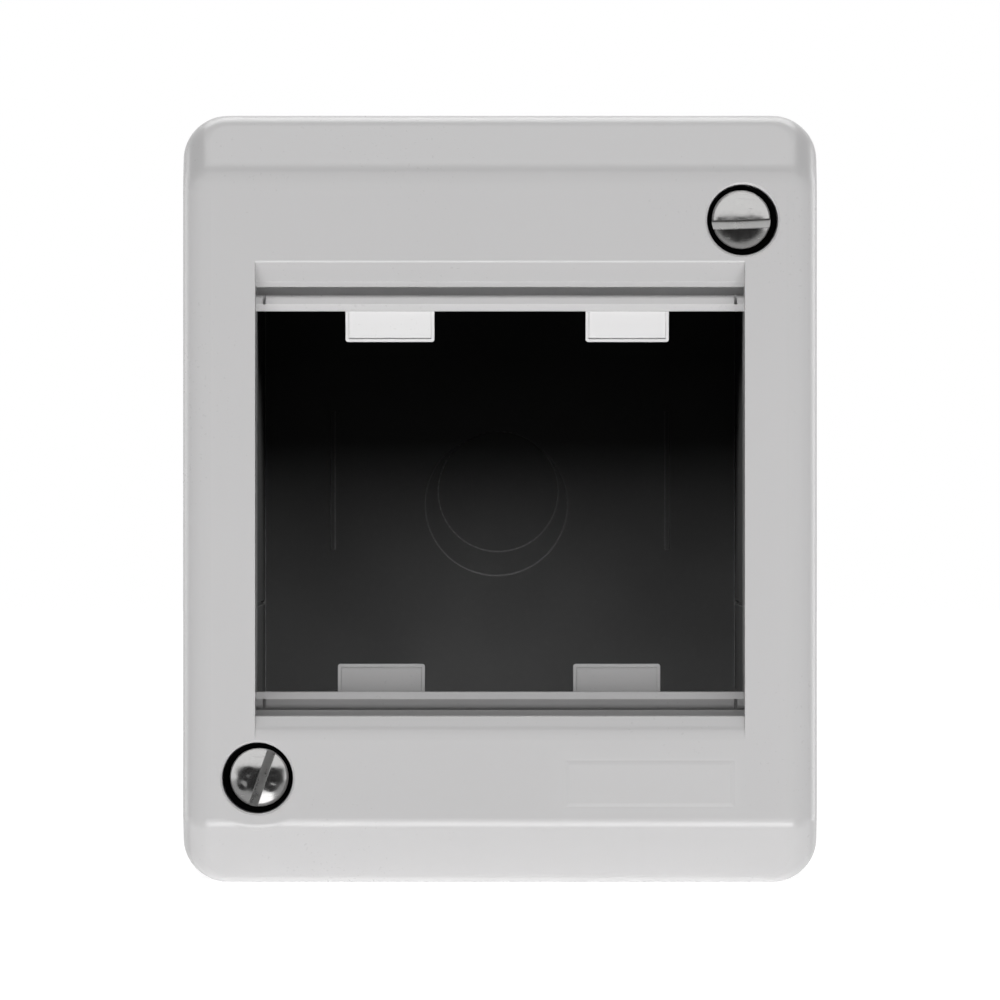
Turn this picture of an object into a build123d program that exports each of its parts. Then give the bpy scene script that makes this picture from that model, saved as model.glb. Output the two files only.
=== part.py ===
from build123d import *
import math
import os

# Surface mount box for two wiring modules. Sizes in millimetres.
# It is drawn lying on its back: X to the right, Y up the wall, Z out of the wall, and is stood up at the end.
# The finished part has its wall face at y = 0, its front toward -Y and its top toward +Z.

# Outside of the box
total_depth = 55.0
cover_width = 66.0
cover_height = 80.0
corner_radius = 4.6
cover_skirt_depth = 18.0
skirt_draft = 0.4
base_draft = 0.8
parting_gap = 0.3
base_inset = 0.35

# Front of the cover
slope_height = 6.1
slope_depth = 5.0
straight_top = 9.0
front_rounding = 3.0
lower_edge_radius = 2.0
upper_edge_radius = 5.0
cover_wall = 2.0
rebate = 0.75

# Opening for the modules
opening_width = 50.9
opening_height = 48.9
opening_raise = 0.15
opening_root = 0.4
collar_wall = 1.8
collar_depth = 12.0
rib_wall = 1.2
rib_across = 14.0
rib_up = 13.0
rib_drop = 2.0

# Rails along the top and bottom of the opening, each a bevel, a step, a groove, a shelf and a lip
shelf_depth = 5.4
lip_sink = 0.55
rail_thickness = 2.6
rail_slope = 0.5
bead_radius = 0.4
upper_rail = {
    "bevel": 1.95,
    "bevel_depth": 3.0,
    "edge_round": 0.35,
    "step": 0.55,
    "step_depth": 3.4,
    "groove": 0.85,
    "groove_depth": 1.9,
    "shelf": 0.95,
    "lip": 0.7,
}
lower_rail = {
    "bevel": 1.7,
    "bevel_depth": 1.1,
    "edge_round": 2.6,
    "step": 0.55,
    "step_depth": 4.4,
    "groove": 0.2,
    "groove_depth": 0.5,
    "shelf": 0.95,
    "lip": 0.75,
}
end_slit = 0.3
end_slit_depth = 0.7
end_land = 0.7

# Snap tabs on the rails: place along the rail, and width
tab_thickness = 1.1
tab_lean = 24.0
tab_overlap = 0.8
tab_root_sink = 0.65
tab_corner = 0.3
tab_rim = 0.35
tab_dish = 0.15
upper_tab_drop = 3.2
lower_tab_drop = 2.9
upper_tabs = ((-11.5, 9.3), (13.3, 8.7))
lower_tabs = ((-12.4, 9.1), (12.2, 9.1))

# Cover screws, their wells and seals, on one diagonal
screw_side_inset = 7.8
screw_end_inset = 11.0
swell_radius = 11.0
swell_rise = 0.65
swell_round = 0.8
swell_width = 9.0
swell_root = 1.0
tube_radius = 4.7
tube_length = 15.8
well_radius = 3.7
well_depth = 3.3
well_edge = 0.2
screw_clearance = 0.2
head_radius = 3.0
head_rim = 0.8
head_dome = 0.85
slot_width = 1.1
slot_depth = 1.2
upper_slot_angle = 0.0
lower_slot_angle = 71.0
shank_radius = 1.7
shank_length = 24.0
tip_chamfer = 0.5
seal_thickness = 0.8
seal_lip = 0.5
seal_clearance = 0.12

# Blank panel on the face, a little proud of it with a sloping edge
panel_width = 17.6
panel_height = 4.8
panel_rise = 0.1
panel_edge = 0.4
panel_side_inset = 17.4
panel_end_inset = 10.4

# Back box
base_wall = 2.0
floor_thickness = 2.0
tongue_height = 2.2
tongue_clearance = 0.15
cheek_wall = 1.5
cheek_end_inset = 7.0
cheek_gap = 0.3
cheek_score_width = 0.4
cheek_score_depth = 0.4
cheek_score_down = 11.1
pillar_radius = 3.8
pilot_clearance = 0.06
pilot_depth = 22.0
web_wall = 1.2
web_spacing = 22.0
web_drop = 6.0

# Wall fixing slots, knockouts and the shape of the back wall
fixing_spacing = 55.0
fixing_radius = 2.25
fixing_length = 8.0
fixing_pad = 2.2
fixing_pad_height = 0.6
back_land = 5.0
back_relief = 0.5
centre_pad_radius = 11.0
conduit_radius = 10.0
conduit_groove = 0.7
conduit_web = 0.7
conduit_out = 20.0
knockout_radius = 7.7
knockout_sink = 0.35
knockout_across = -0.4
knockout_raise = -0.6
knockout_dish_radius = 6.5
knockout_dish_sink = 0.75
knockout_dish_across = -0.2
knockout_dish_raise = 0.8
knockout_groove = 0.6
guide_across = 18.1
guide_width = 0.5
guide_height = 0.25
guide_length = 15.0
guide_raise = 2.0

# How far a cut runs past a surface, and how far a piece of a moulding sinks into the one that carries it
past = 1.0
sunk = 0.5

# Two places or sizes closer than this are the same
near = 1e-6

# Worked out from the sizes above
face = total_depth
rim = face - cover_skirt_depth
base_rim = rim - parting_gap
half_width = cover_width / 2
half_height = cover_height / 2
plateau_edge = half_height - slope_height
opening_side = opening_width / 2
opening_top = opening_raise + opening_height / 2
opening_bottom = opening_raise - opening_height / 2
skirt_spread = (cover_skirt_depth - straight_top) * math.tan(math.radians(skirt_draft))
rim_width = cover_width + 2 * skirt_spread
rim_height = cover_height + 2 * skirt_spread
tube_end = face - tube_length
screw_across = half_width - screw_side_inset
screw_up = half_height - screw_end_inset
screw_places = ((screw_across, screw_up), (-screw_across, -screw_up))
panel_across = half_width - panel_side_inset
panel_down = half_height - panel_end_inset
screw_hole_radius = shank_radius + screw_clearance
head_seat = face - well_depth + seal_thickness


def block(x0, x1, y0, y1, z0, z1):
    """A box between two corners."""
    return Pos((x0 + x1) / 2, (y0 + y1) / 2, (z0 + z1) / 2) * Box(abs(x1 - x0), abs(y1 - y0), abs(z1 - z0))


def rod(x, y, z0, z1, radius):
    """A round bar along Z."""
    return Pos(x, y, (z0 + z1) / 2) * Cylinder(radius, z1 - z0)


def bar_along_x(profile, x0, x1):
    """A bar between two places along X with a (y, z) section."""
    return Pos(x0, 0, 0) * extrude(Plane.YZ * profile, x1 - x0, dir=(1, 0, 0))


def round_block(width, height, radius, z0, z1, draft=0.0):
    """A block with round corners that narrows from z0 to z1 by the draft angle, either way along Z."""
    outline = Pos(0, 0, z0) * RectangleRounded(width, height, radius)
    way = (0, 0, 1) if z1 > z0 else (0, 0, -1)
    return extrude(outline, abs(z1 - z0), dir=way, taper=draft)


def side_outline():
    """The cover seen from the side, wider than the box: a flat face with a slope above and below."""
    reach = half_height + corner_radius
    points = (
        (-reach, 0),
        (reach, 0),
        (reach, face - slope_depth),
        (half_height, face - slope_depth),
        (plateau_edge, face),
        (-plateau_edge, face),
        (-half_height, face - slope_depth),
        (-reach, face - slope_depth),
    )
    return make_face(Polyline(*points, close=True))


def is_at(vertex, x, y):
    """True where a vertex of a flat profile lies at a place."""
    return abs(vertex.X - x) < near and abs(vertex.Y - y) < near


def rounded_side_outline():
    """The side outline with a soft upper edge and a tighter lower edge to the face."""
    profile = side_outline()
    for side, radius in ((1, upper_edge_radius), (-1, lower_edge_radius)):
        crease = [v for v in profile.vertices() if is_at(v, side * plateau_edge, face)]
        profile = fillet(crease, radius)
    return profile


def front_edges(solid):
    """The edges round the front that join the face and slopes to the side walls."""
    found = []
    for edge in solid.edges():
        centre = edge.center()
        first = edge.position_at(0)
        last = edge.position_at(1)
        upright = abs(first.X - last.X) < near and abs(first.Y - last.Y) < near
        across_face = abs(centre.X) < near and abs(centre.Y) < half_height - near
        in_front = centre.Z > face - straight_top + near
        if in_front and not upright and not across_face:
            found.append(edge)
    return found


def cover_outside():
    """The outer form of the cover: rounded front on a drafted skirt."""
    front = round_block(cover_width, cover_height, corner_radius, face - straight_top, face)
    front &= bar_along_x(rounded_side_outline(), -half_width - past, half_width + past)
    front = front.fillet(front_rounding, front_edges(front))
    skirt = round_block(rim_width, rim_height, corner_radius, rim, face - straight_top, skirt_draft)
    return front + skirt


def cover_inside():
    """The hollow of the cover, one wall inside its outer form, with a rebate at the rim for the tongue."""
    hollow = round_block(
        rim_width - 2 * cover_wall,
        rim_height - 2 * cover_wall,
        corner_radius - cover_wall,
        rim,
        face - cover_wall,
        skirt_draft,
    )
    hollow &= bar_along_x(offset(side_outline(), -cover_wall), -half_width, half_width)
    lip = round_block(
        rim_width - 2 * cover_wall + 2 * rebate,
        rim_height - 2 * cover_wall + 2 * rebate,
        corner_radius - cover_wall + rebate,
        rim - past,
        rim + tongue_height + parting_gap,
    )
    return hollow + lip


def rail(side, edge, sizes):
    """One rail along the opening's edge; side is 1 at the top and -1 at the bottom."""
    bevel_end = edge - side * sizes["bevel"]
    step_end = bevel_end - side * sizes["step"]
    shelf_start = step_end - side * sizes["groove"]
    shelf_end = shelf_start - side * sizes["shelf"]
    lip_end = shelf_end - side * sizes["lip"]
    step_level = face - sizes["step_depth"]
    shelf_level = face - shelf_depth
    groove_level = shelf_level - sizes["groove_depth"]
    lip_level = shelf_level - lip_sink
    root = edge + side * opening_root
    points = (
        (edge, face),
        (bevel_end, face - sizes["bevel_depth"]),
        (bevel_end, step_level),
        (step_end, step_level),
        (step_end, groove_level),
        (shelf_start, groove_level),
        (shelf_start, shelf_level),
        (shelf_end, shelf_level),
        (lip_end, lip_level),
        (lip_end, lip_level - rail_thickness),
        (root, lip_level - rail_thickness - abs(edge - lip_end) * rail_slope),
        (root, face - opening_root),
    )
    profile = make_face(Polyline(*points, close=True))
    bead = [v for v in profile.vertices() if is_at(v, shelf_start, shelf_level)]
    profile = fillet(bead, bead_radius)
    bar = bar_along_x(profile, -opening_side - opening_root, opening_side + opening_root)
    for x in (-opening_side + end_land, opening_side - end_land - end_slit):
        low, high = sorted((shelf_start, shelf_end))
        bar -= block(x, x + end_slit, low, high, shelf_level - end_slit_depth, shelf_level + past)
    return bar, lip_end, lip_level


def snap_tab(side, x, width, lip_line, level, drop):
    """A dished tongue that leans back into the box from a rail's lip."""
    length = (drop + tab_overlap) / math.cos(math.radians(tab_lean))
    tongue = block(-width / 2, width / 2, -length, 0, -tab_thickness, 0)
    at_end = tongue.edges().filter_by(Axis.Z).sort_by(Axis.Y)[:2]
    tongue = tongue.fillet(tab_corner, at_end)
    tongue -= block(-width / 2 + tab_rim, width / 2 - tab_rim, -length + tab_rim, past, -tab_dish, past)
    tongue = Rot(tab_lean, 0, 0) * tongue
    if side < 0:
        tongue = mirror(tongue, Plane.XZ)
    return Pos(x, lip_line + side * tab_overlap, level - tab_root_sink) * tongue


def edge_rounding(side, edge, sizes):
    """A bar to cut away, which rounds the edge between the face and a rail's bevel."""
    bevel, depth, radius = sizes["bevel"], sizes["bevel_depth"], sizes["edge_round"]
    slant = math.hypot(bevel, depth)
    turn = math.atan2(depth, bevel)
    reach = radius * math.tan(turn / 2)
    on_face = (edge + side * reach, face)
    on_bevel = (edge - side * reach * bevel / slant, face - reach * depth / slant)
    middle = (on_face[0] - side * radius * math.sin(turn / 2), face - radius * (1 - math.cos(turn / 2)))
    beyond = edge - side * (bevel + past)
    corners = (on_bevel, (beyond, on_bevel[1]), (beyond, face + past), (on_face[0], face + past), on_face)
    outline = Polyline(*corners) + ThreePointArc(on_face, middle, on_bevel)
    return bar_along_x(make_face(outline), -opening_side, opening_side)


def slope_swell(x):
    """The shallow swell below the lower screw well, where the face bulges over the lower slope."""
    lowest = plateau_edge + swell_rise
    swell = rod(x, swell_radius - lowest, face - cover_wall, face, swell_radius)
    swell = swell.fillet(swell_round, swell.edges().filter_by(GeomType.CIRCLE).sort_by(Axis.Z)[-1:])
    low, high = -lowest - past, -plateau_edge + swell_root
    return swell & block(x - swell_width / 2, x + swell_width / 2, low, high, face - cover_wall, face + past)


def blank_panel():
    """The low panel on the face; its edges slope on down into the wall that carries it."""
    sections = []
    for spread, level in ((panel_edge, face - panel_rise), (-panel_edge, face + panel_rise)):
        section = Rectangle(panel_width + 2 * spread, panel_height + 2 * spread)
        sections.append(Pos(panel_across, -panel_down, level) * section)
    return loft(sections)


def well_mouths(cover):
    """The round edges where the face meets the screw wells."""
    circles = cover.edges().filter_by(GeomType.CIRCLE)
    return [e for e in circles if abs(e.radius - well_radius) < near and abs(e.center().Z - face) < near]


def make_cover():
    """The moulded cover: shell, collar, rails, snap tabs, screw wells and stiffening ribs."""
    cover = cover_outside() - cover_inside()
    collar_side = opening_side + collar_wall
    collar_top = opening_top + collar_wall
    collar_bottom = opening_bottom - collar_wall
    inner = face - cover_wall / 2
    cover += block(-collar_side, collar_side, collar_bottom, collar_top, face - collar_depth, inner)
    rib_foot = face - collar_depth + rib_drop
    core = cover_core()
    for x in (-rib_across, 0, rib_across):
        for low, high in ((collar_top - sunk, half_height), (-half_height, collar_bottom + sunk)):
            cover += block(x - rib_wall / 2, x + rib_wall / 2, low, high, rib_foot, inner) & core
    for y in (-rib_up, rib_up):
        for low, high in ((collar_side - sunk, half_width), (-half_width, -collar_side + sunk)):
            cover += block(low, high, y - rib_wall / 2, y + rib_wall / 2, rib_foot, inner) & core
    for x, y in screw_places:
        cover += rod(x, y, tube_end, inner, tube_radius)
    cover += slope_swell(screw_places[1][0])
    cover -= block(-opening_side, opening_side, opening_bottom, opening_top, rim - past, face + past)
    upper, upper_line, upper_level = rail(1, opening_top, upper_rail)
    lower, lower_line, lower_level = rail(-1, opening_bottom, lower_rail)
    cover += upper
    cover += lower
    for x, width in upper_tabs:
        cover += snap_tab(1, x, width, upper_line, upper_level, upper_tab_drop)
    for x, width in lower_tabs:
        cover += snap_tab(-1, x, width, lower_line, lower_level, lower_tab_drop)
    for x, y in screw_places:
        cover -= rod(x, y, face - well_depth, face + past, well_radius)
        cover -= rod(x, y, tube_end - past, face, screw_hole_radius)
    cover -= edge_rounding(1, opening_top, upper_rail)
    cover -= edge_rounding(-1, opening_bottom, lower_rail)
    cover = cover.chamfer(well_edge, well_edge, well_mouths(cover))
    return cover + blank_panel()


def cover_core():
    """A block half a wall inside the cover's outer form, which ends ribs inside the walls."""
    core_radius = corner_radius - cover_wall / 2
    core = round_block(cover_width - cover_wall, cover_height - cover_wall, core_radius, rim, face)
    return core & bar_along_x(offset(side_outline(), -cover_wall / 2), -half_width, half_width)


def slotted_hole(y, z0, z1, radius, length):
    """An upright slot along Y with round ends."""
    outline = Pos(0, y, z0) * Rot(0, 0, 90) * SlotOverall(length, 2 * radius)
    return extrude(outline, z1 - z0)


def make_base():
    """The moulded back box: drafted walls, tongue, cheeks, pillars, wall fixings and knockouts."""
    width = rim_width - 2 * base_inset
    height = rim_height - 2 * base_inset
    radius = corner_radius - base_inset
    narrowing = 2 * base_rim * math.tan(math.radians(base_draft))
    inner_width = width - narrowing - 2 * base_wall
    inner_height = height - narrowing - 2 * base_wall
    inner_radius = radius - base_wall
    base = round_block(width, height, radius, base_rim, 0, base_draft)
    tongue_width = rim_width - 2 * cover_wall + 2 * rebate - 2 * tongue_clearance
    tongue_side = (tongue_width - inner_width) / 2
    base += round_block(
        tongue_width,
        inner_height + 2 * tongue_side,
        inner_radius + tongue_side,
        base_rim - sunk,
        base_rim + tongue_height,
    )
    inside_top = base_rim + tongue_height + past
    base -= round_block(inner_width, inner_height, inner_radius, floor_thickness, inside_top)

    floor_in = floor_thickness - sunk
    cheek_top = face - collar_depth - cheek_gap
    clear_half = screw_up - tube_radius - cheek_gap
    cheek_half_height = half_height - cheek_end_inset
    wall_reach = (inner_width + base_wall) / 2
    for side in (1, -1):
        inner = side * opening_side
        outer = side * (opening_side + cheek_wall)
        base += block(inner, outer, -clear_half, clear_half, floor_in, cheek_top)
        base += block(inner, outer, -cheek_half_height, cheek_half_height, floor_in, tube_end - sunk)
        for y in (-web_spacing, 0, web_spacing):
            base += block(outer - side * sunk, side * wall_reach, y - web_wall / 2, y + web_wall / 2,
                          floor_in, base_rim - web_drop)
        base -= block(inner - side * past, inner + side * cheek_score_depth,
                      -cheek_score_down - cheek_score_width / 2, -cheek_score_down + cheek_score_width / 2,
                      floor_thickness + past, cheek_top + past)
        base += block(side * guide_across - guide_width / 2, side * guide_across + guide_width / 2,
                      guide_raise - guide_length / 2, guide_raise + guide_length / 2,
                      floor_in, floor_thickness + guide_height)
        base += slotted_hole(side * fixing_spacing / 2, floor_in, floor_thickness + fixing_pad_height,
                             fixing_radius + fixing_pad, fixing_length + 2 * fixing_pad)
    for x, y in screw_places:
        base += rod(x, y, floor_in, tube_end, pillar_radius)
        base -= rod(x, y, tube_end - pilot_depth, tube_end + past, shank_radius + pilot_clearance)

    relief = round_block(
        width - narrowing - 2 * back_land,
        height - narrowing - 2 * back_land,
        radius,
        -past,
        back_relief,
    )
    relief -= rod(knockout_across, knockout_raise, -past, back_relief, centre_pad_radius)
    for side in (1, -1):
        relief -= slotted_hole(side * fixing_spacing / 2, -past, back_relief, fixing_radius + fixing_pad,
                               fixing_length + 2 * fixing_pad)
    base -= relief
    for side in (1, -1):
        base -= slotted_hole(side * fixing_spacing / 2, -past, floor_thickness + fixing_pad_height + past,
                             fixing_radius, fixing_length)
    inside = floor_thickness + past
    base -= rod(knockout_across, knockout_raise, floor_thickness - knockout_sink, inside, knockout_radius)
    base -= rod(knockout_dish_across, knockout_dish_raise, floor_thickness - knockout_dish_sink, inside,
                knockout_dish_radius)
    groove = rod(knockout_across, knockout_raise, -past, knockout_groove, knockout_radius)
    groove -= rod(knockout_across, knockout_raise, -past, knockout_groove, knockout_radius - knockout_groove)
    base -= groove

    groove_bottom = inner_height / 2 + conduit_web
    ring = Cylinder(conduit_radius, 2 * base_wall) - Cylinder(conduit_radius - conduit_groove, 2 * base_wall)
    for side in (1, -1):
        base -= Pos(0, side * (groove_bottom + base_wall), conduit_out) * Rot(90, 0, 0) * ring
    return base


def make_screw(x, y, slot_angle):
    """A slotted screw with a low domed head."""
    crown = head_seat + head_rim + head_dome
    dome_radius = (head_radius ** 2 + head_dome ** 2) / (2 * head_dome)
    head = rod(x, y, head_seat, crown, head_radius)
    head &= Pos(x, y, crown - dome_radius) * Sphere(dome_radius)
    slot_length = 2 * (head_radius + past)
    slot = Pos(x, y, crown) * Rot(0, 0, slot_angle) * Box(slot_length, slot_width, 2 * slot_depth)
    shank = rod(x, y, head_seat - shank_length, head_seat + head_rim / 2, shank_radius)
    tip = shank.edges().filter_by(GeomType.CIRCLE).sort_by(Axis.Z)[:1]
    shank = shank.chamfer(tip_chamfer, tip_chamfer, tip)
    return head + shank - slot


def make_seal(x, y):
    """A sealing washer under the screw head, with a lip that stands round it."""
    outer = well_radius - seal_clearance
    seal = rod(x, y, face - well_depth, head_seat + seal_lip, outer)
    seal -= rod(x, y, head_seat, head_seat + seal_lip + past, head_radius + seal_clearance / 2)
    return seal - rod(x, y, face - well_depth - past, head_seat + past, screw_hole_radius)


stand_up = Rot(90, 0, 0)
(upper_screw, lower_screw) = screw_places
pieces = {
    "cover_frame": make_cover(),
    "back_box": make_base(),
    "cover_screw_upper_right": make_screw(*upper_screw, upper_slot_angle),
    "cover_screw_lower_left": make_screw(*lower_screw, lower_slot_angle),
    "screw_seal_upper_right": make_seal(*upper_screw),
    "screw_seal_lower_left": make_seal(*lower_screw),
}
os.makedirs("parts", exist_ok=True)
for name, piece in pieces.items():
    export_step(stand_up * piece, f"parts/{name}.step")
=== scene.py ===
import bpy
import bmesh
import math
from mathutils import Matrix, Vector


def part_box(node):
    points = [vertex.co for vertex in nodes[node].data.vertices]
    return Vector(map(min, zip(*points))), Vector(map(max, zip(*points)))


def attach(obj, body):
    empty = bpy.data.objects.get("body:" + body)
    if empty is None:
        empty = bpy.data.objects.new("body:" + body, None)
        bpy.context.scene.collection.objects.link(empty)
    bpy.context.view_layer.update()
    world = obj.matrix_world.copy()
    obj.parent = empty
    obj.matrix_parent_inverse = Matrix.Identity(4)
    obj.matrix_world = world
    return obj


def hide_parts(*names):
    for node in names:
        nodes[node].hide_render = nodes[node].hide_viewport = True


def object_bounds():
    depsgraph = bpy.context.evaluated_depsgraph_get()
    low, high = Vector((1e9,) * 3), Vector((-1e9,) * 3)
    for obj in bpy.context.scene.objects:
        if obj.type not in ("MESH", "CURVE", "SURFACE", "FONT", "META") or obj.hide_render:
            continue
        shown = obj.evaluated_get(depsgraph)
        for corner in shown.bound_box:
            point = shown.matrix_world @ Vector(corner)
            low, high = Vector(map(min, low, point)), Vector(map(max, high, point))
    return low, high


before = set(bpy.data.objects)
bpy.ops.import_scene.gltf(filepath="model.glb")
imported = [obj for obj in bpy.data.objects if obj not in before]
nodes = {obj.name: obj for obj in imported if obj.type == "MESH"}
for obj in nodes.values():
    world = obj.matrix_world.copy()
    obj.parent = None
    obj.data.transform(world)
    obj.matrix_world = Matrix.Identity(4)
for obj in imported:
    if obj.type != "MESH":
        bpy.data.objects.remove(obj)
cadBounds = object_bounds()
print("stage 1: the moulded parts are loaded")

# The room: camera, floor, backdrop and lamps. Lengths in metres, strengths in watts.
room = {
    "faceDistance": 1.244,      # camera to the front face
    "pixelsPerMetre": 9626.0,   # on the front face, in a picture 1000 wide
    "pictureSize": 1000.0,
    "sensorWidth": 36.0,
    "nearestSeen": 0.01,
    "farthestSeen": 50.0,
    "cameraLevel": -0.00012,    # over the middle of the box
    "floorSize": 6.0,
    "floorColour": (0.90, 0.90, 0.90),
    "floorRoughness": 0.9,
    "floorSpecular": 0.1,
    "floorGlow": 1.2,
    "floorGlowShare": 0.80,     # how much of the floor's look is its own plain white, near the box
    "floorFadeStart": 0.20,     # from here outward the floor turns wholly white
    "floorFadeEnd": 0.80,
    "worldStrength": 0.137,
    "boxMiddle": (0.0, -0.03, 0.0),
    "cardSteps": 24,
}
plainWhite = (1.0, 1.0, 1.0, 1.0)
lamps = {
    # place, size across and up, watts, and what it lights: a row of litNodes, or all
    "lowFrontLamp": {
        "place": (0.0, -0.76, -0.61), "size": (0.7, 0.44), "watts": 10.0, "lights": "cover",
    },
    "softFrontLamp": {
        "place": (0.0, -0.95, -0.26), "size": (0.7, 0.36), "watts": 1.5, "lights": "cover",
    },
    "underLamp": {
        "place": (0.0, -0.45, -1.12), "size": (0.9, 0.30), "watts": 1.3, "lights": "cover",
    },
    "topLamp": {
        "place": (0.0, -0.34, 1.13), "size": (1.0, 0.5), "watts": 5.2, "lights": "cover",
    },
    "topRimLamp": {
        "place": (0.0, 0.52, 1.07), "size": (1.0, 0.7), "watts": 8.1, "lights": "all",
    },
    "lowRimLamp": {
        "place": (0.0, 0.67, -1.0), "size": (1.0, 0.4), "watts": 1.4, "lights": "cover",
    },
    "leftRimLamp": {
        "place": (-1.02, 0.59, 0.1), "size": (0.5, 0.8), "watts": 2.6, "lights": "cover",
    },
    "rightRimLamp": {
        "place": (1.02, 0.59, 0.1), "size": (0.5, 0.8), "watts": 3.8, "lights": "cover",
    },
    "insideLamp": {
        "place": (0.0, -1.03, 0.61), "size": (1.2, 0.62), "watts": 74.0, "lights": "dark",
    },
    "leftInsideLamp": {
        "place": (-0.88, -0.82, 0.36), "size": (0.3, 0.3), "watts": 42.0, "lights": "dark",
    },
    "rightInsideLamp": {
        "place": (0.88, -0.82, 0.36), "size": (0.3, 0.3), "watts": 48.0, "lights": "dark",
    },
    "glintLamp": {
        "place": (0.105, -1.05, -0.683), "size": (0.40, 0.42), "watts": 0.80, "lights": "metal",
    },
}
litNodes = {
    "cover": ("cover_frame",),
    "dark": ("back_box",),
    "metal": ("cover_screw_lower_left",),
}
cards = {
    # plain cards behind the camera, seen only in reflections: width, heights of the lower and the
    # upper edge, how far the lower edge sags in its middle, place behind the camera, brightness
    "darkCard": {
        "across": 2.1, "low": -0.42, "high": 0.19,
        "sag": 0.52, "back": -1.9, "shade": 0.03,
    },
    "greyCard": {
        "across": 8.0, "low": -6.0, "high": -0.40,
        "sag": 0.0, "back": -1.92, "shade": 0.42,
    },
}


def gridFaces(start, rows, columns):
    faces = []
    for row in range(rows - 1):
        for column in range(columns - 1):
            first = start + row * columns + column
            faces.append((first, first + 1, first + columns + 1, first + columns))
    return faces


def addRows(points, faces, rows):
    # a patch of quads over rows of points of equal length
    faces += gridFaces(len(points), len(rows), len(rows[0]))
    for row in rows:
        points.extend(row)


def evenly(low, high, steps):
    return [low + (high - low) * step / steps for step in range(steps + 1)]


def aimAt(thing, target):
    way = Vector(target) - thing.location
    thing.rotation_euler = way.to_track_quat("-Z", "Y").to_euler()


def addCamera():
    front = cadBounds[0][1]
    data = bpy.data.cameras.new("photoCamera")
    data.sensor_width = room["sensorWidth"]
    focalPixels = room["pixelsPerMetre"] * room["faceDistance"]
    data.lens = room["sensorWidth"] * focalPixels / room["pictureSize"]
    data.clip_start = room["nearestSeen"]
    data.clip_end = room["farthestSeen"]
    camera = bpy.data.objects.new("photoCamera", data)
    bpy.context.scene.collection.objects.link(camera)
    camera.location = (0.0, front - room["faceDistance"], room["cameraLevel"])
    camera.rotation_euler = (math.radians(90.0), 0.0, 0.0)
    bpy.context.scene.camera = camera


def addLamps():
    for name, sizes in lamps.items():
        data = bpy.data.lights.new(name, "AREA")
        data.shape = "RECTANGLE"
        data.size, data.size_y = sizes["size"]
        data.energy = sizes["watts"]
        lamp = bpy.data.objects.new(name, data)
        bpy.context.scene.collection.objects.link(lamp)
        lamp.location = sizes["place"]
        aimAt(lamp, room["boxMiddle"])
        if sizes["lights"] == "dark":
            lamp.visible_glossy = False    # no glare on the black walls
        if sizes["lights"] in litNodes:
            lit = bpy.data.collections.new(name + "Lights")
            for nodeName in litNodes[sizes["lights"]]:
                lit.objects.link(shownPieces[nodeName])
            lamp.light_linking.receiver_collection = lit


def combine(tree, operation, *values):
    # one step of arithmetic; each value is a socket or a plain number
    node = tree.nodes.new("ShaderNodeMath")
    node.operation = operation
    for place, value in enumerate(values):
        if isinstance(value, float):
            node.inputs[place].default_value = value
        else:
            tree.links.new(value, node.inputs[place])
    return node.outputs[0]


def whiteWhere(tree, *labels):
    # 1 for the kinds of ray that see the plain white backdrop
    path = tree.nodes.new("ShaderNodeLightPath")
    seen = path.outputs[labels[0]]
    for label in labels[1:]:
        seen = combine(tree, "MAXIMUM", seen, path.outputs[label])
    return seen


def addWorld():
    world = bpy.data.worlds.new("paleRoom")
    bpy.context.scene.world = world
    world.use_nodes = True
    tree = world.node_tree
    tree.nodes.clear()
    out = tree.nodes.new("ShaderNodeOutputWorld")
    mix = tree.nodes.new("ShaderNodeMixShader")
    soft = tree.nodes.new("ShaderNodeBackground")
    soft.inputs["Strength"].default_value = room["worldStrength"]
    white = tree.nodes.new("ShaderNodeBackground")
    for background in (soft, white):
        background.inputs["Color"].default_value = plainWhite
    seen = whiteWhere(tree, "Is Camera Ray", "Is Glossy Ray", "Is Transmission Ray")
    tree.links.new(seen, mix.inputs["Fac"])
    tree.links.new(soft.outputs[0], mix.inputs[1])
    tree.links.new(white.outputs[0], mix.inputs[2])
    tree.links.new(mix.outputs[0], out.inputs["Surface"])


def addCards():
    for name, sizes in cards.items():
        half = sizes["across"] / 2
        low, high, back = sizes["low"], sizes["high"], sizes["back"]
        mesh = bpy.data.meshes.new(name)
        points, faces, rows = [], [], []
        for share in evenly(-1.0, 1.0, room["cardSteps"]):
            across = half * share
            sag = sizes["sag"] * (1 - share ** 2)
            rows.append([(across, back, low - sag), (across, back, high)])
        addRows(points, faces, rows)
        mesh.from_pydata(points, [], faces)
        card = bpy.data.objects.new(name, mesh)
        bpy.context.scene.collection.objects.link(card)
        material, tree, shader = newMaterial(name + "Paper")
        shader.inputs["Base Color"].default_value = (0.0, 0.0, 0.0, 1.0)
        shader.inputs["Roughness"].default_value = 1.0
        shader.inputs["Specular IOR Level"].default_value = 0.0
        shader.inputs["Emission Color"].default_value = plainWhite
        shader.inputs["Emission Strength"].default_value = sizes["shade"]
        mesh.materials.append(material)
        card.visible_camera = False
        card.visible_diffuse = False
        card.visible_shadow = False
        card.visible_transmission = False


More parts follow.
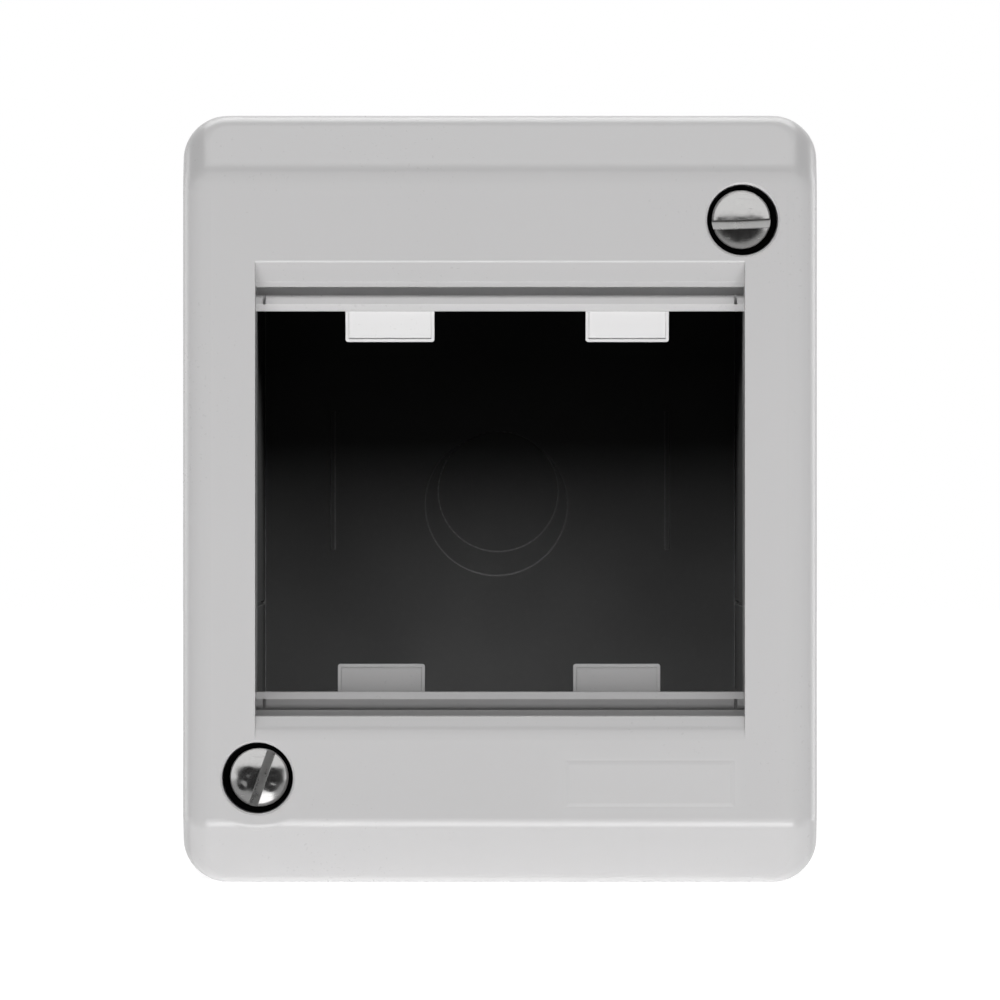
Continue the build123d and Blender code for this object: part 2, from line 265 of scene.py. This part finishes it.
def addFloor():
    level = cadBounds[0][2]
    half = room["floorSize"] / 2
    mesh = bpy.data.meshes.new("paleFloor")
    corners = ((-half, -half), (half, -half), (half, half), (-half, half))
    mesh.from_pydata([(x, y, level) for x, y in corners], [], [(0, 1, 2, 3)])
    floor = bpy.data.objects.new("paleFloor", mesh)
    bpy.context.scene.collection.objects.link(floor)
    material, tree, paint = newMaterial("paleFloorPaint")
    paint.inputs["Base Color"].default_value = (*room["floorColour"], 1.0)
    paint.inputs["Roughness"].default_value = room["floorRoughness"]
    paint.inputs["Specular IOR Level"].default_value = room["floorSpecular"]
    glow = tree.nodes.new("ShaderNodeEmission")
    glow.inputs["Color"].default_value = plainWhite
    glow.inputs["Strength"].default_value = room["floorGlow"]
    mix = tree.nodes.new("ShaderNodeMixShader")
    place = tree.nodes.new("ShaderNodeTexCoord")
    reach = tree.nodes.new("ShaderNodeVectorMath")
    reach.operation = "LENGTH"
    tree.links.new(place.outputs["Object"], reach.inputs[0])
    fade = rampBetween(tree, reach.outputs["Value"], room["floorFadeStart"], room["floorFadeEnd"],
                       room["floorGlowShare"], 1.0)
    seen = whiteWhere(tree, "Is Camera Ray", "Is Transmission Ray")
    tree.links.new(combine(tree, "MULTIPLY", seen, fade), mix.inputs["Fac"])
    tree.links.new(paint.outputs[0], mix.inputs[1])
    tree.links.new(glow.outputs[0], mix.inputs[2])
    tree.links.new(mix.outputs[0], tree.nodes["Material Output"].inputs["Surface"])
    mesh.materials.append(material)
    floor.visible_shadow = False   # the low lamps stand below the floor's level
    floor.visible_glossy = False   # so that reflections see the cards


def rampBetween(tree, source, low, high, darkest, lightest):
    node = tree.nodes.new("ShaderNodeMapRange")
    node.inputs["From Min"].default_value = low
    node.inputs["From Max"].default_value = high
    node.inputs["To Min"].default_value = darkest
    node.inputs["To Max"].default_value = lightest
    tree.links.new(source, node.inputs["Value"])
    return node.outputs["Result"]


def newMaterial(name):
    material = bpy.data.materials.new(name)
    material.use_nodes = True
    tree = material.node_tree
    return material, tree, tree.nodes["Principled BSDF"]


addCamera()
addWorld()
addFloor()
addCards()
bpy.context.scene.view_settings.view_transform = "Standard"
print("stage 2: the room is set")


# Surface finishes. These numbers hold for all of them; each finish has its own further down.
surfaceShape = {
    "grainDetail": 3.0,
    "waveDetail": 2.0,
    "grainRange": (0.3, 0.7),       # heights of the grain over which the roughness changes
    "edgeSamples": 4,
    "scratchWays": ((0.6, 0.05), (-0.9, 0.08)),     # turn and squeeze of the lines
    "scratchDetail": 1.0,
    "scratchLevel": 0.5,            # a line runs where the noise has this value
    "patchDetail": 2.0,
    "patchRange": (0.50, 0.65),     # the lines show where the noise of the patches is above this
    "dustDetail": 4.0,
    "dustFacing": (-0.2, 1.0),      # from facing a little down to facing straight up
    "leastDust": 0.15,
    "speckRange": (0.52, 0.66),
}


def newGroup(name, labels, outputs):
    group = bpy.data.node_groups.new(name, "ShaderNodeTree")
    for label in labels:
        group.interface.new_socket(label, in_out="INPUT", socket_type="NodeSocketFloat")
    for label in outputs:
        group.interface.new_socket(label, in_out="OUTPUT", socket_type="NodeSocketFloat")
    return group, group.nodes.new("NodeGroupInput"), group.nodes.new("NodeGroupOutput")


def placeGroup(tree, group, values):
    node = tree.nodes.new("ShaderNodeGroup")
    node.node_tree = group
    for label, value in values.items():
        node.inputs[label].default_value = value
    return node


def addNoise(tree, place, scale, detail):
    noise = tree.nodes.new("ShaderNodeTexNoise")
    noise.inputs["Detail"].default_value = detail
    tree.links.new(place, noise.inputs["Vector"])
    tree.links.new(scale, noise.inputs["Scale"])
    return noise.outputs["Fac"]


def makeMouldGrain():
    # fine spark-eroded grain over slow waves of the moulding
    labels = ("Grain Scale", "Wave Scale", "Grain Share")
    group, inside, outside = newGroup("mouldGrain", labels, ("Height", "Mottle"))
    place = group.nodes.new("ShaderNodeTexCoord").outputs["Object"]
    grain = addNoise(group, place, inside.outputs["Grain Scale"], surfaceShape["grainDetail"])
    waves = addNoise(group, place, inside.outputs["Wave Scale"], surfaceShape["waveDetail"])
    mix = group.nodes.new("ShaderNodeMix")
    mix.data_type = "FLOAT"
    group.links.new(inside.outputs["Grain Share"], mix.inputs["Factor"])
    group.links.new(waves, mix.inputs["A"])
    group.links.new(grain, mix.inputs["B"])
    group.links.new(mix.outputs["Result"], outside.inputs["Height"])
    group.links.new(waves, outside.inputs["Mottle"])
    return group


def mixColours(tree, factor, below, above):
    # each colour is a socket or three numbers
    node = tree.nodes.new("ShaderNodeMix")
    node.data_type = "RGBA"
    tree.links.new(factor, node.inputs["Factor"])
    for label, colour in (("A", below), ("B", above)):
        if isinstance(colour, tuple):
            node.inputs[label].default_value = (*colour, 1.0)
        else:
            tree.links.new(colour, node.inputs[label])
    return node.outputs["Result"]


def makeEdgeWearAndPaintedHighlight():
    # 1 along the edges, fading to 0 on the flats: where handling rubs the surface and where the
    # edges take a painted highlight
    group, inside, outside = newGroup("edgeWearAndPaintedHighlight", ("Radius", "Low", "High"), ("Mask",))
    rounded = group.nodes.new("ShaderNodeBevel")
    rounded.samples = surfaceShape["edgeSamples"]
    surface = group.nodes.new("ShaderNodeNewGeometry")
    match = group.nodes.new("ShaderNodeVectorMath")
    match.operation = "DOT_PRODUCT"
    spread = group.nodes.new("ShaderNodeMapRange")
    group.links.new(inside.outputs["Radius"], rounded.inputs["Radius"])
    group.links.new(rounded.outputs["Normal"], match.inputs[0])
    group.links.new(surface.outputs["Normal"], match.inputs[1])
    turned = combine(group, "SUBTRACT", 1.0, match.outputs["Value"])
    group.links.new(turned, spread.inputs["Value"])
    group.links.new(inside.outputs["Low"], spread.inputs["From Min"])
    group.links.new(inside.outputs["High"], spread.inputs["From Max"])
    group.links.new(spread.outputs["Result"], outside.inputs["Mask"])
    return group


def makeFineScratches():
    # thin faint lines in two crossing directions, only in patches
    group, inside, outside = newGroup("fineScratches", ("Scale", "Width", "Patch Scale"), ("Mask",))
    place = group.nodes.new("ShaderNodeTexCoord").outputs["Object"]
    scale, width = inside.outputs["Scale"], inside.outputs["Width"]
    lines = []
    for turn, squeeze in surfaceShape["scratchWays"]:
        mapping = group.nodes.new("ShaderNodeMapping")
        mapping.inputs["Rotation"].default_value = (0.0, turn, 0.0)
        mapping.inputs["Scale"].default_value = (squeeze, 1.0, 1.0)
        group.links.new(place, mapping.inputs["Vector"])
        along = mapping.outputs["Vector"]
        noise = addNoise(group, along, scale, surfaceShape["scratchDetail"])
        lines.append(combine(group, "COMPARE", noise, surfaceShape["scratchLevel"], width))
    patches = addNoise(group, place, inside.outputs["Patch Scale"], surfaceShape["patchDetail"])
    shown = rampBetween(group, patches, *surfaceShape["patchRange"], 0.0, 1.0)
    mask = combine(group, "MULTIPLY", combine(group, "MAXIMUM", *lines), shown)
    group.links.new(mask, outside.inputs["Mask"])
    return group


def makeSettledDust():
    # fine grains that lie thicker on what faces upward
    group, inside, outside = newGroup("settledDust", ("Grain Scale", "Amount"), ("Mask",))
    place = group.nodes.new("ShaderNodeTexCoord").outputs["Object"]
    surface = group.nodes.new("ShaderNodeNewGeometry")
    parts = group.nodes.new("ShaderNodeSeparateXYZ")
    group.links.new(surface.outputs["Normal"], parts.inputs[0])
    lying = rampBetween(group, parts.outputs["Z"], *surfaceShape["dustFacing"],
                        surfaceShape["leastDust"], 1.0)
    grains = addNoise(group, place, inside.outputs["Grain Scale"], surfaceShape["dustDetail"])
    specks = rampBetween(group, grains, *surfaceShape["speckRange"], 0.0, 1.0)
    full = combine(group, "MULTIPLY", lying, specks)
    mask = combine(group, "MULTIPLY", full, inside.outputs["Amount"])
    group.links.new(mask, outside.inputs["Mask"])
    return group


def maskWithin(tree, sizes):
    # 1 inside an upright block of space, fading to 0 just outside it
    place = tree.nodes.new("ShaderNodeTexCoord")
    parts = tree.nodes.new("ShaderNodeSeparateXYZ")
    tree.links.new(place.outputs["Object"], parts.inputs[0])
    masks = []
    for axis, middle, half in zip("XZ", sizes["middle"], sizes["half"]):
        away = combine(tree, "ABSOLUTE", combine(tree, "SUBTRACT", parts.outputs[axis], middle))
        masks.append(rampBetween(tree, away, half, half + sizes["fade"], 1.0, 0.0))
    return combine(tree, "MINIMUM", *masks)


def addShare(tree, below, mask, share):
    # a value plus a share of a mask
    return combine(tree, "MULTIPLY_ADD", mask, share, below)


def addBump(tree, shader, height, sizes):
    # grain on a surface whose sharp edges catch the light as if slightly rounded
    bump = tree.nodes.new("ShaderNodeBump")
    bump.inputs["Strength"].default_value = sizes["bumpStrength"]
    bump.inputs["Distance"].default_value = sizes["bumpDistance"]
    edge = tree.nodes.new("ShaderNodeBevel")
    edge.samples = surfaceShape["edgeSamples"]
    edge.inputs["Radius"].default_value = sizes["edgeRadius"]
    tree.links.new(edge.outputs["Normal"], bump.inputs["Normal"])
    tree.links.new(height, bump.inputs["Height"])
    tree.links.new(bump.outputs["Normal"], shader.inputs["Normal"])


mouldGrain = makeMouldGrain()
edgeWearAndPaintedHighlight = makeEdgeWearAndPaintedHighlight()
fineScratches = makeFineScratches()
settledDust = makeSettledDust()


def makeFinish(name, sizes):
    # one opaque finish: grain, slow colour change, edges lightened as wear and as painted highlight,
    # fine scratches and a little dust
    material, tree, shader = newMaterial(name)
    grain = placeGroup(tree, mouldGrain, sizes["grain"])
    wearAndPaintedHighlight = placeGroup(tree, edgeWearAndPaintedHighlight, sizes["wearAndPaintedHighlight"]).outputs["Mask"]
    scratches = placeGroup(tree, fineScratches, sizes["scratches"]).outputs["Mask"]
    dust = placeGroup(tree, settledDust, sizes["dust"]).outputs["Mask"]
    colour = mixColours(tree, grain.outputs["Mottle"], sizes["darkerColour"], sizes["colour"])
    # the lighter colour along the edges is wear and painted highlight at once
    for mask, share, over in ((wearAndPaintedHighlight, "wearAndPaintedHighlightShare", "wearAndPaintedHighlightColour"), (dust, "dustShare", "dustColour")):
        colour = mixColours(tree, combine(tree, "MULTIPLY", mask, sizes[share]), colour, sizes[over])
    tree.links.new(colour, shader.inputs["Base Color"])
    rough = rampBetween(tree, grain.outputs["Height"], *surfaceShape["grainRange"],
                        sizes["roughLow"], sizes["roughHigh"])
    rough = addShare(tree, rough, wearAndPaintedHighlight, sizes["wearRough"])
    rough = addShare(tree, rough, scratches, sizes["scratchRough"])
    rough = addShare(tree, rough, dust, sizes["dustRough"])
    if "mattePanel" in sizes:
        panel = sizes["mattePanel"]
        rough = addShare(tree, rough, maskWithin(tree, panel), panel["rough"])
    tree.links.new(rough, shader.inputs["Roughness"])
    height = addShare(tree, grain.outputs["Height"], scratches, -sizes["scratchDepth"])
    addBump(tree, shader, height, sizes)
    shader.inputs["Metallic"].default_value = sizes["metallic"]
    shader.inputs["Specular IOR Level"].default_value = sizes["specular"]
    return material


greyCover = makeFinish("greyMouldedCover", {
    "colour": (0.525, 0.520, 0.522),
    "darkerColour": (0.512, 0.507, 0.510),
    "wearAndPaintedHighlightColour": (0.60, 0.595, 0.597),
    "dustColour": (0.42, 0.41, 0.40),
    "wearAndPaintedHighlightShare": 0.25,
    "dustShare": 0.03,
    "roughLow": 0.26,
    "roughHigh": 0.34,
    "wearRough": -0.05,
    "scratchRough": 0.02,
    "dustRough": 0.04,
    "mattePanel": {     # the plain panel at the lower right, duller than the rest
        "middle": (0.0156, -0.0296),
        "half": (0.0092, 0.0028),
        "fade": 0.0002,
        "rough": 0.35,
    },
    "grain": {"Grain Scale": 2600.0, "Wave Scale": 45.0, "Grain Share": 0.7},
    "wearAndPaintedHighlight": {"Radius": 0.0003, "Low": 0.03, "High": 0.25},
    "scratches": {"Scale": 220.0, "Width": 0.004, "Patch Scale": 70.0},
    "dust": {"Grain Scale": 1800.0, "Amount": 0.5},
    "scratchDepth": 0.01,
    "bumpStrength": 0.05,
    "bumpDistance": 0.00005,
    "edgeRadius": 0.00012,
    "metallic": 0.0,
    "specular": 0.5,
})
blackBox = makeFinish("blackMouldedBox", {
    "colour": (0.0155, 0.0155, 0.0155),
    "darkerColour": (0.0110, 0.0110, 0.0110),
    # lighter edges: wear, raised further as a painted highlight so that the knockout's rims show as
    # light lines
    "wearAndPaintedHighlightColour": (0.05, 0.05, 0.05),
    "dustColour": (0.06, 0.058, 0.055),
    "wearAndPaintedHighlightShare": 0.8,
    "dustShare": 0.15,
    "roughLow": 0.30,
    "roughHigh": 0.42,
    "wearRough": -0.05,
    "scratchRough": 0.10,
    "dustRough": 0.20,
    "grain": {"Grain Scale": 1500.0, "Wave Scale": 90.0, "Grain Share": 0.4},
    "wearAndPaintedHighlight": {"Radius": 0.0003, "Low": 0.03, "High": 0.25},
    "scratches": {"Scale": 200.0, "Width": 0.004, "Patch Scale": 60.0},
    "dust": {"Grain Scale": 1500.0, "Amount": 0.5},
    "scratchDepth": 0.2,
    "bumpStrength": 0.04,
    "bumpDistance": 0.00003,
    "edgeRadius": 0.00015,
    "metallic": 0.0,
    "specular": 0.08,
})
nickel = {
    "colour": (0.60, 0.595, 0.59),
    "darkerColour": (0.54, 0.535, 0.53),
    "wearAndPaintedHighlightColour": (0.70, 0.69, 0.68),
    "dustColour": (0.20, 0.19, 0.18),
    "wearAndPaintedHighlightShare": 0.5,
    "dustShare": 0.10,
    "roughLow": 0.10,
    "roughHigh": 0.19,
    "wearRough": 0.05,
    "scratchRough": 0.15,
    "dustRough": 0.20,
    "grain": {"Grain Scale": 3000.0, "Wave Scale": 900.0, "Grain Share": 0.3},
    "wearAndPaintedHighlight": {"Radius": 0.00008, "Low": 0.05, "High": 0.30},
    "scratches": {"Scale": 900.0, "Width": 0.008, "Patch Scale": 500.0},
    "dust": {"Grain Scale": 3000.0, "Amount": 0.4},
    "scratchDepth": 0.3,
    "bumpStrength": 0.10,
    "bumpDistance": 0.00003,
    "edgeRadius": 0.00004,
    "metallic": 1.0,
    "specular": 0.5,
}
brightNickel = makeFinish("brightNickel", nickel)
cutNickel = makeFinish("cutNickel", {**nickel, "roughLow": 0.24, "roughHigh": 0.34})
# a black darker than real rubber: the seal also stands in for the shadow in the gap round each screw
# head, painted shade
sealRubberAndPaintedShade = makeFinish("blackSealRubberAndPaintedShade", {
    "colour": (0.0012, 0.0012, 0.0012),
    "darkerColour": (0.0008, 0.0008, 0.0008),
    "wearAndPaintedHighlightColour": (0.004, 0.004, 0.004),
    "dustColour": (0.012, 0.012, 0.012),
    "wearAndPaintedHighlightShare": 0.5,
    "dustShare": 0.15,
    "roughLow": 0.60,
    "roughHigh": 0.78,
    "wearRough": -0.08,
    "scratchRough": 0.0,
    "dustRough": 0.10,
    "grain": {"Grain Scale": 4000.0, "Wave Scale": 500.0, "Grain Share": 0.6},
    "wearAndPaintedHighlight": {"Radius": 0.00012, "Low": 0.03, "High": 0.25},
    "scratches": {"Scale": 900.0, "Width": 0.002, "Patch Scale": 300.0},
    "dust": {"Grain Scale": 3000.0, "Amount": 0.5},
    "scratchDepth": 0.0,
    "bumpStrength": 0.2,
    "bumpDistance": 0.00004,
    "edgeRadius": 0.0001,
    "metallic": 0.0,
    "specular": 0.05,
})
print("stage 3: the finishes are made")

# Cover screws: a domed slotted head on a shank with a coarse thread for plastic. Each is drawn about
# its own middle, with its front toward +Z and up as +Y, and is then stood in its node's place.
screwShape = {
    "headGrowth": 0.00006,      # the head is this much larger than the plain one
    "rimHeight": 0.00115,
    "domeHeight": 0.0005,
    "shoulder": 0.0001,         # rounding of the head's outer edge
    "slotWidth": 0.00085,
    "slotDepth": 0.00095,
    "slotLip": 0.00006,         # bevel along the slot's edges
    "headSteps": 48,
    "slotSteps": 5,
    "shankRadius": 0.0017,
    "threadDepth": 0.00036,
    "threadPitch": 0.00125,
    "ridgeShare": 0.32,         # half the width of the thread's ridge, in pitches
    "neckLength": 0.0022,
    "tipLength": 0.0016,
    "tipRadius": 0.0006,
    "rowsPerTurn": 8,
    "turnSteps": 64,
    "floorFacing": 0.5,         # a face of the slot that looks forward more than this is its floor
}
screwDetails = {
    # slot's angle in degrees, its offset from the middle and the slope of its floor; how far the
    # head stands across and up from the shank, and how far up its crown lies; and the dents beside
    # the slot: place across and up from the middle, depth and width
    "cover_screw_upper_right": {
        "slotAngle": 2.0,
        "slotShift": -0.00047,
        "floorSlope": -0.065,
        "headShift": (-0.00012, 0.00004),
        "crownShift": 0.0,
        "dents": ((0.0011, 0.0002, 0.000012, 0.0005), (-0.0012, 0.0003, 0.000010, 0.0005)),
    },
    "cover_screw_lower_left": {
        "slotAngle": 71.0,
        "slotShift": -0.00032,
        "floorSlope": 0.10,
        "headShift": (0.00016, 0.00004),
        "crownShift": 0.0004,
        "dents": ((-0.0011, 0.0004, 0.00005, 0.0004), (0.0013, -0.0009, 0.00004, 0.0004),
                  (-0.0017, -0.0008, 0.00005, 0.0004), (-0.0007, -0.0006, 0.00003, 0.0003),
                  (0.0016, 0.0003, 0.00004, 0.0003)),
    },
}


def domeLevel(across, up, radius, details):
    # height of the head's front over its seat; the crown may lie a little off the middle
    crownShift = details["crownShift"]
    rim, dome, shoulder = screwShape["rimHeight"], screwShape["domeHeight"], screwShape["shoulder"]
    ball = (radius ** 2 + dome ** 2) / (2 * dome)
    level = rim + math.sqrt(ball ** 2 - across ** 2 - (up - crownShift) ** 2) - (ball - dome)
    inward = radius - math.hypot(across, up)
    if inward < shoulder:
        level -= shoulder - math.sqrt(max(shoulder ** 2 - (shoulder - inward) ** 2, 0.0))
    for dentAcross, dentUp, depth, width in details["dents"]:
        distance = math.hypot(across - dentAcross, up - dentUp)
        level -= depth * math.exp(-(distance / width) ** 2)
    return level


def headRows(radius, details):
    # rows of the head's front, parallel to the slot: offset from the middle, and what a row lies on
    half = screwShape["slotWidth"] / 2
    lip = screwShape["slotLip"]
    middle = details["slotShift"]
    rows = []
    for angle in evenly(-math.pi / 2, math.pi / 2, screwShape["headSteps"]):
        offset = radius * math.sin(angle)
        if abs(offset - middle) > half + 2 * lip:
            rows.append((offset, "dome"))
    rows += [(middle - half - lip, "dome"), (middle - half, "lip")]
    floorRows = evenly(middle - half, middle + half, screwShape["slotSteps"])
    rows += [(offset, "floor") for offset in floorRows]
    rows += [(middle + half, "lip"), (middle + half + lip, "dome")]
    order = {"dome": 0, "lip": 1, "floor": 2}
    below = sorted((r for r in rows if r[0] < middle), key=lambda r: (r[0], order[r[1]]))
    above = sorted((r for r in rows if r[0] >= middle), key=lambda r: (r[0], -order[r[1]]))
    return below + above


def makeHead(points, faces, radius, details):
    crown = screwShape["rimHeight"] + screwShape["domeHeight"]
    angle = math.radians(details["slotAngle"])
    middle = details["slotShift"]
    rows = []
    for offset, kind in headRows(radius, details):
        half = math.sqrt(max(radius ** 2 - offset ** 2, 0.0))
        row = []
        for turn in evenly(-math.pi / 2, math.pi / 2, screwShape["headSteps"]):
            along = half * math.sin(turn)
            across = along * math.cos(angle) - offset * math.sin(angle)
            up = along * math.sin(angle) + offset * math.cos(angle)
            level = domeLevel(across, up, radius, details)
            if kind == "lip":
                level -= screwShape["slotLip"]
            if kind == "floor":
                level = crown - screwShape["slotDepth"] + (offset - middle) * details["floorSlope"]
            row.append((across + details["headShift"][0], up + details["headShift"][1], level))
        rows.append(row)
    addRows(points, faces, rows)
    for end in (0, -1):
        edge = [row[end] for row in rows]
        addRows(points, faces, [edge, [(across, up, 0.0) for across, up, level in edge]])


def makeShank(points, faces, radius, length, details):
    root = screwShape["shankRadius"] - screwShape["threadDepth"]
    pitch = screwShape["threadPitch"]
    neck, tip = screwShape["neckLength"], screwShape["tipLength"]
    turns = evenly(0.0, 1.0, screwShape["turnSteps"])

    def ring(size, level, shift=(0.0, 0.0)):
        across, up = shift
        angles = [math.tau * t for t in turns]
        return [(size * math.cos(a) + across, size * math.sin(a) + up, level) for a in angles]

    rows = [ring(radius, 0.0, details["headShift"]), ring(screwShape["shankRadius"], 0.0)]
    steps = round(length / pitch * screwShape["rowsPerTurn"])
    for down in evenly(0.0, length, steps):
        body = root
        share = min(max((down - neck) / pitch, 0.0), 1.0)
        left = length - down
        if left < tip:
            body = screwShape["tipRadius"] + (root - screwShape["tipRadius"]) * left / tip
            share = left / tip
        row = []
        for t in turns:
            phase = (down / pitch + t) % 1.0
            ridge = max(0.0, 1.0 - abs(phase - 0.5) / screwShape["ridgeShare"])
            size = body + screwShape["threadDepth"] * ridge * share
            row.append((size * math.cos(math.tau * t), size * math.sin(math.tau * t), -down))
        rows.append(row)
    rows.append(ring(0.0, -length))
    addRows(points, faces, rows)


meshShape = {
    "sameSpot": 1e-7,       # points nearer than this are joined
    "leastEdge": 1e-8,      # edges shorter than this are taken out
    "sharpAngle": 35.0,     # edges between faces that turn by more degrees stay sharp
}


def finishMesh(name, points, faces, material):
    mesh = bpy.data.meshes.new(name)
    mesh.from_pydata(points, [], faces)
    shape = bmesh.new()
    shape.from_mesh(mesh)
    bmesh.ops.remove_doubles(shape, verts=shape.verts, dist=meshShape["sameSpot"])
    bmesh.ops.dissolve_degenerate(shape, edges=shape.edges, dist=meshShape["leastEdge"])
    bmesh.ops.recalc_face_normals(shape, faces=shape.faces)
    shape.to_mesh(mesh)
    shape.free()
    mesh.shade_smooth()
    mesh.set_sharp_from_angle(angle=math.radians(meshShape["sharpAngle"]))
    mesh.materials.append(material)
    piece = bpy.data.objects.new(name, mesh)
    bpy.context.scene.collection.objects.link(piece)
    return piece


def dullSlot(mesh, details):
    # the slot's floor, which the cutter left rough
    mesh.materials.append(cutNickel)
    top = screwShape["rimHeight"] - screwShape["shoulder"]
    reach = screwShape["slotWidth"] / 2 + screwShape["slotLip"] / 2
    angle = math.radians(details["slotAngle"])
    for face in mesh.polygons:
        across = face.center.x - details["headShift"][0]
        up = face.center.y - details["headShift"][1]
        offset = up * math.cos(angle) - across * math.sin(angle)
        inSlot = abs(offset - details["slotShift"]) < reach and 0.0 < face.center.z < top
        if inSlot and abs(face.normal.z) > screwShape["floorFacing"]:
            face.material_index = 1


def standAt(piece, across, out, up):
    # a piece drawn with its front toward +Z now faces the camera
    piece.location = (across, out, up)
    piece.rotation_euler = (math.pi / 2, 0.0, 0.0)


def makeScrew(nodeName, details):
    low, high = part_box(nodeName)
    radius = (high[0] - low[0]) / 2 + screwShape["headGrowth"]
    seat = low[1] + screwShape["rimHeight"] + screwShape["domeHeight"]
    points, faces = [], []
    makeHead(points, faces, radius, details)
    makeShank(points, faces, radius, high[1] - seat, details)
    screw = finishMesh(nodeName + "_detailed", points, faces, brightNickel)
    dullSlot(screw.data, details)
    standAt(screw, (low[0] + high[0]) / 2, seat, (low[2] + high[2]) / 2)
    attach(screw, "root")
    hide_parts(nodeName)
    return screw


# Sealing washers: a flat ring with a rounded lip that stands round the screw's head, in a black
# darker than rubber that also serves as painted shade for the gap round the head
sealShape = {
    "lipWidth": 0.00050,        # round a head that stands in the middle
    "lipHeight": 0.0005,
    "lipRounding": 0.0002,
    "holeRadius": 0.0019,
    "turnSteps": 96,
    "arcSteps": 6,
}
sealedScrews = {
    "screw_seal_upper_right": "cover_screw_upper_right",
    "screw_seal_lower_left": "cover_screw_lower_left",
}


def arcPoints(middle, radius, firstAngle, lastAngle):
    angles = evenly(math.radians(firstAngle), math.radians(lastAngle), sealShape["arcSteps"])
    return [(middle[0] + radius * math.cos(a), middle[1] + radius * math.sin(a)) for a in angles]


def makeSeal(nodeName, shift):
    low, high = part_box(nodeName)
    outer = (high[0] - low[0]) / 2
    tall = high[1] - low[1]
    inner = outer - sealShape["lipWidth"]
    edge = sealShape["lipRounding"]
    step = tall - sealShape["lipHeight"]
    profile = [(sealShape["holeRadius"], 0.0)]
    profile += arcPoints((outer - edge, edge), edge, -90.0, 0.0)
    profile += arcPoints((outer - edge, tall - edge), edge, 0.0, 90.0)
    profile += arcPoints((inner + edge, tall - edge), edge, 90.0, 180.0)
    profile += [(inner, step), (sealShape["holeRadius"], step), profile[0]]
    points, faces, rows = [], [], []
    for turn in evenly(0.0, math.tau, sealShape["turnSteps"]):
        row = []
        for radius, level in profile:
            # the lip's inside follows the head, which stands a little off the middle
            share = min(max((outer - edge - radius) / (outer - inner - 2 * edge), 0.0), 1.0)
            across = radius * math.cos(turn) + shift[0] * share
            up = radius * math.sin(turn) + shift[1] * share
            row.append((across, up, level))
        rows.append(row)
    addRows(points, faces, rows)
    seal = finishMesh(nodeName + "_detailed", points, faces, sealRubberAndPaintedShade)
    standAt(seal, (low[0] + high[0]) / 2, high[1], (low[2] + high[2]) / 2)
    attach(seal, "root")
    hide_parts(nodeName)
    return seal


def dress(nodeName, material):
    mesh = nodes[nodeName].data
    mesh.materials.clear()
    mesh.materials.append(material)


shownPieces = dict(nodes)
for nodeName, details in screwDetails.items():
    shownPieces[nodeName] = makeScrew(nodeName, details)
dress("cover_frame", greyCover)
dress("back_box", blackBox)
for nodeName, screwName in sealedScrews.items():
    shownPieces[nodeName] = makeSeal(nodeName, screwDetails[screwName]["headShift"])
addLamps()
print("stage 4: the pieces are in place")
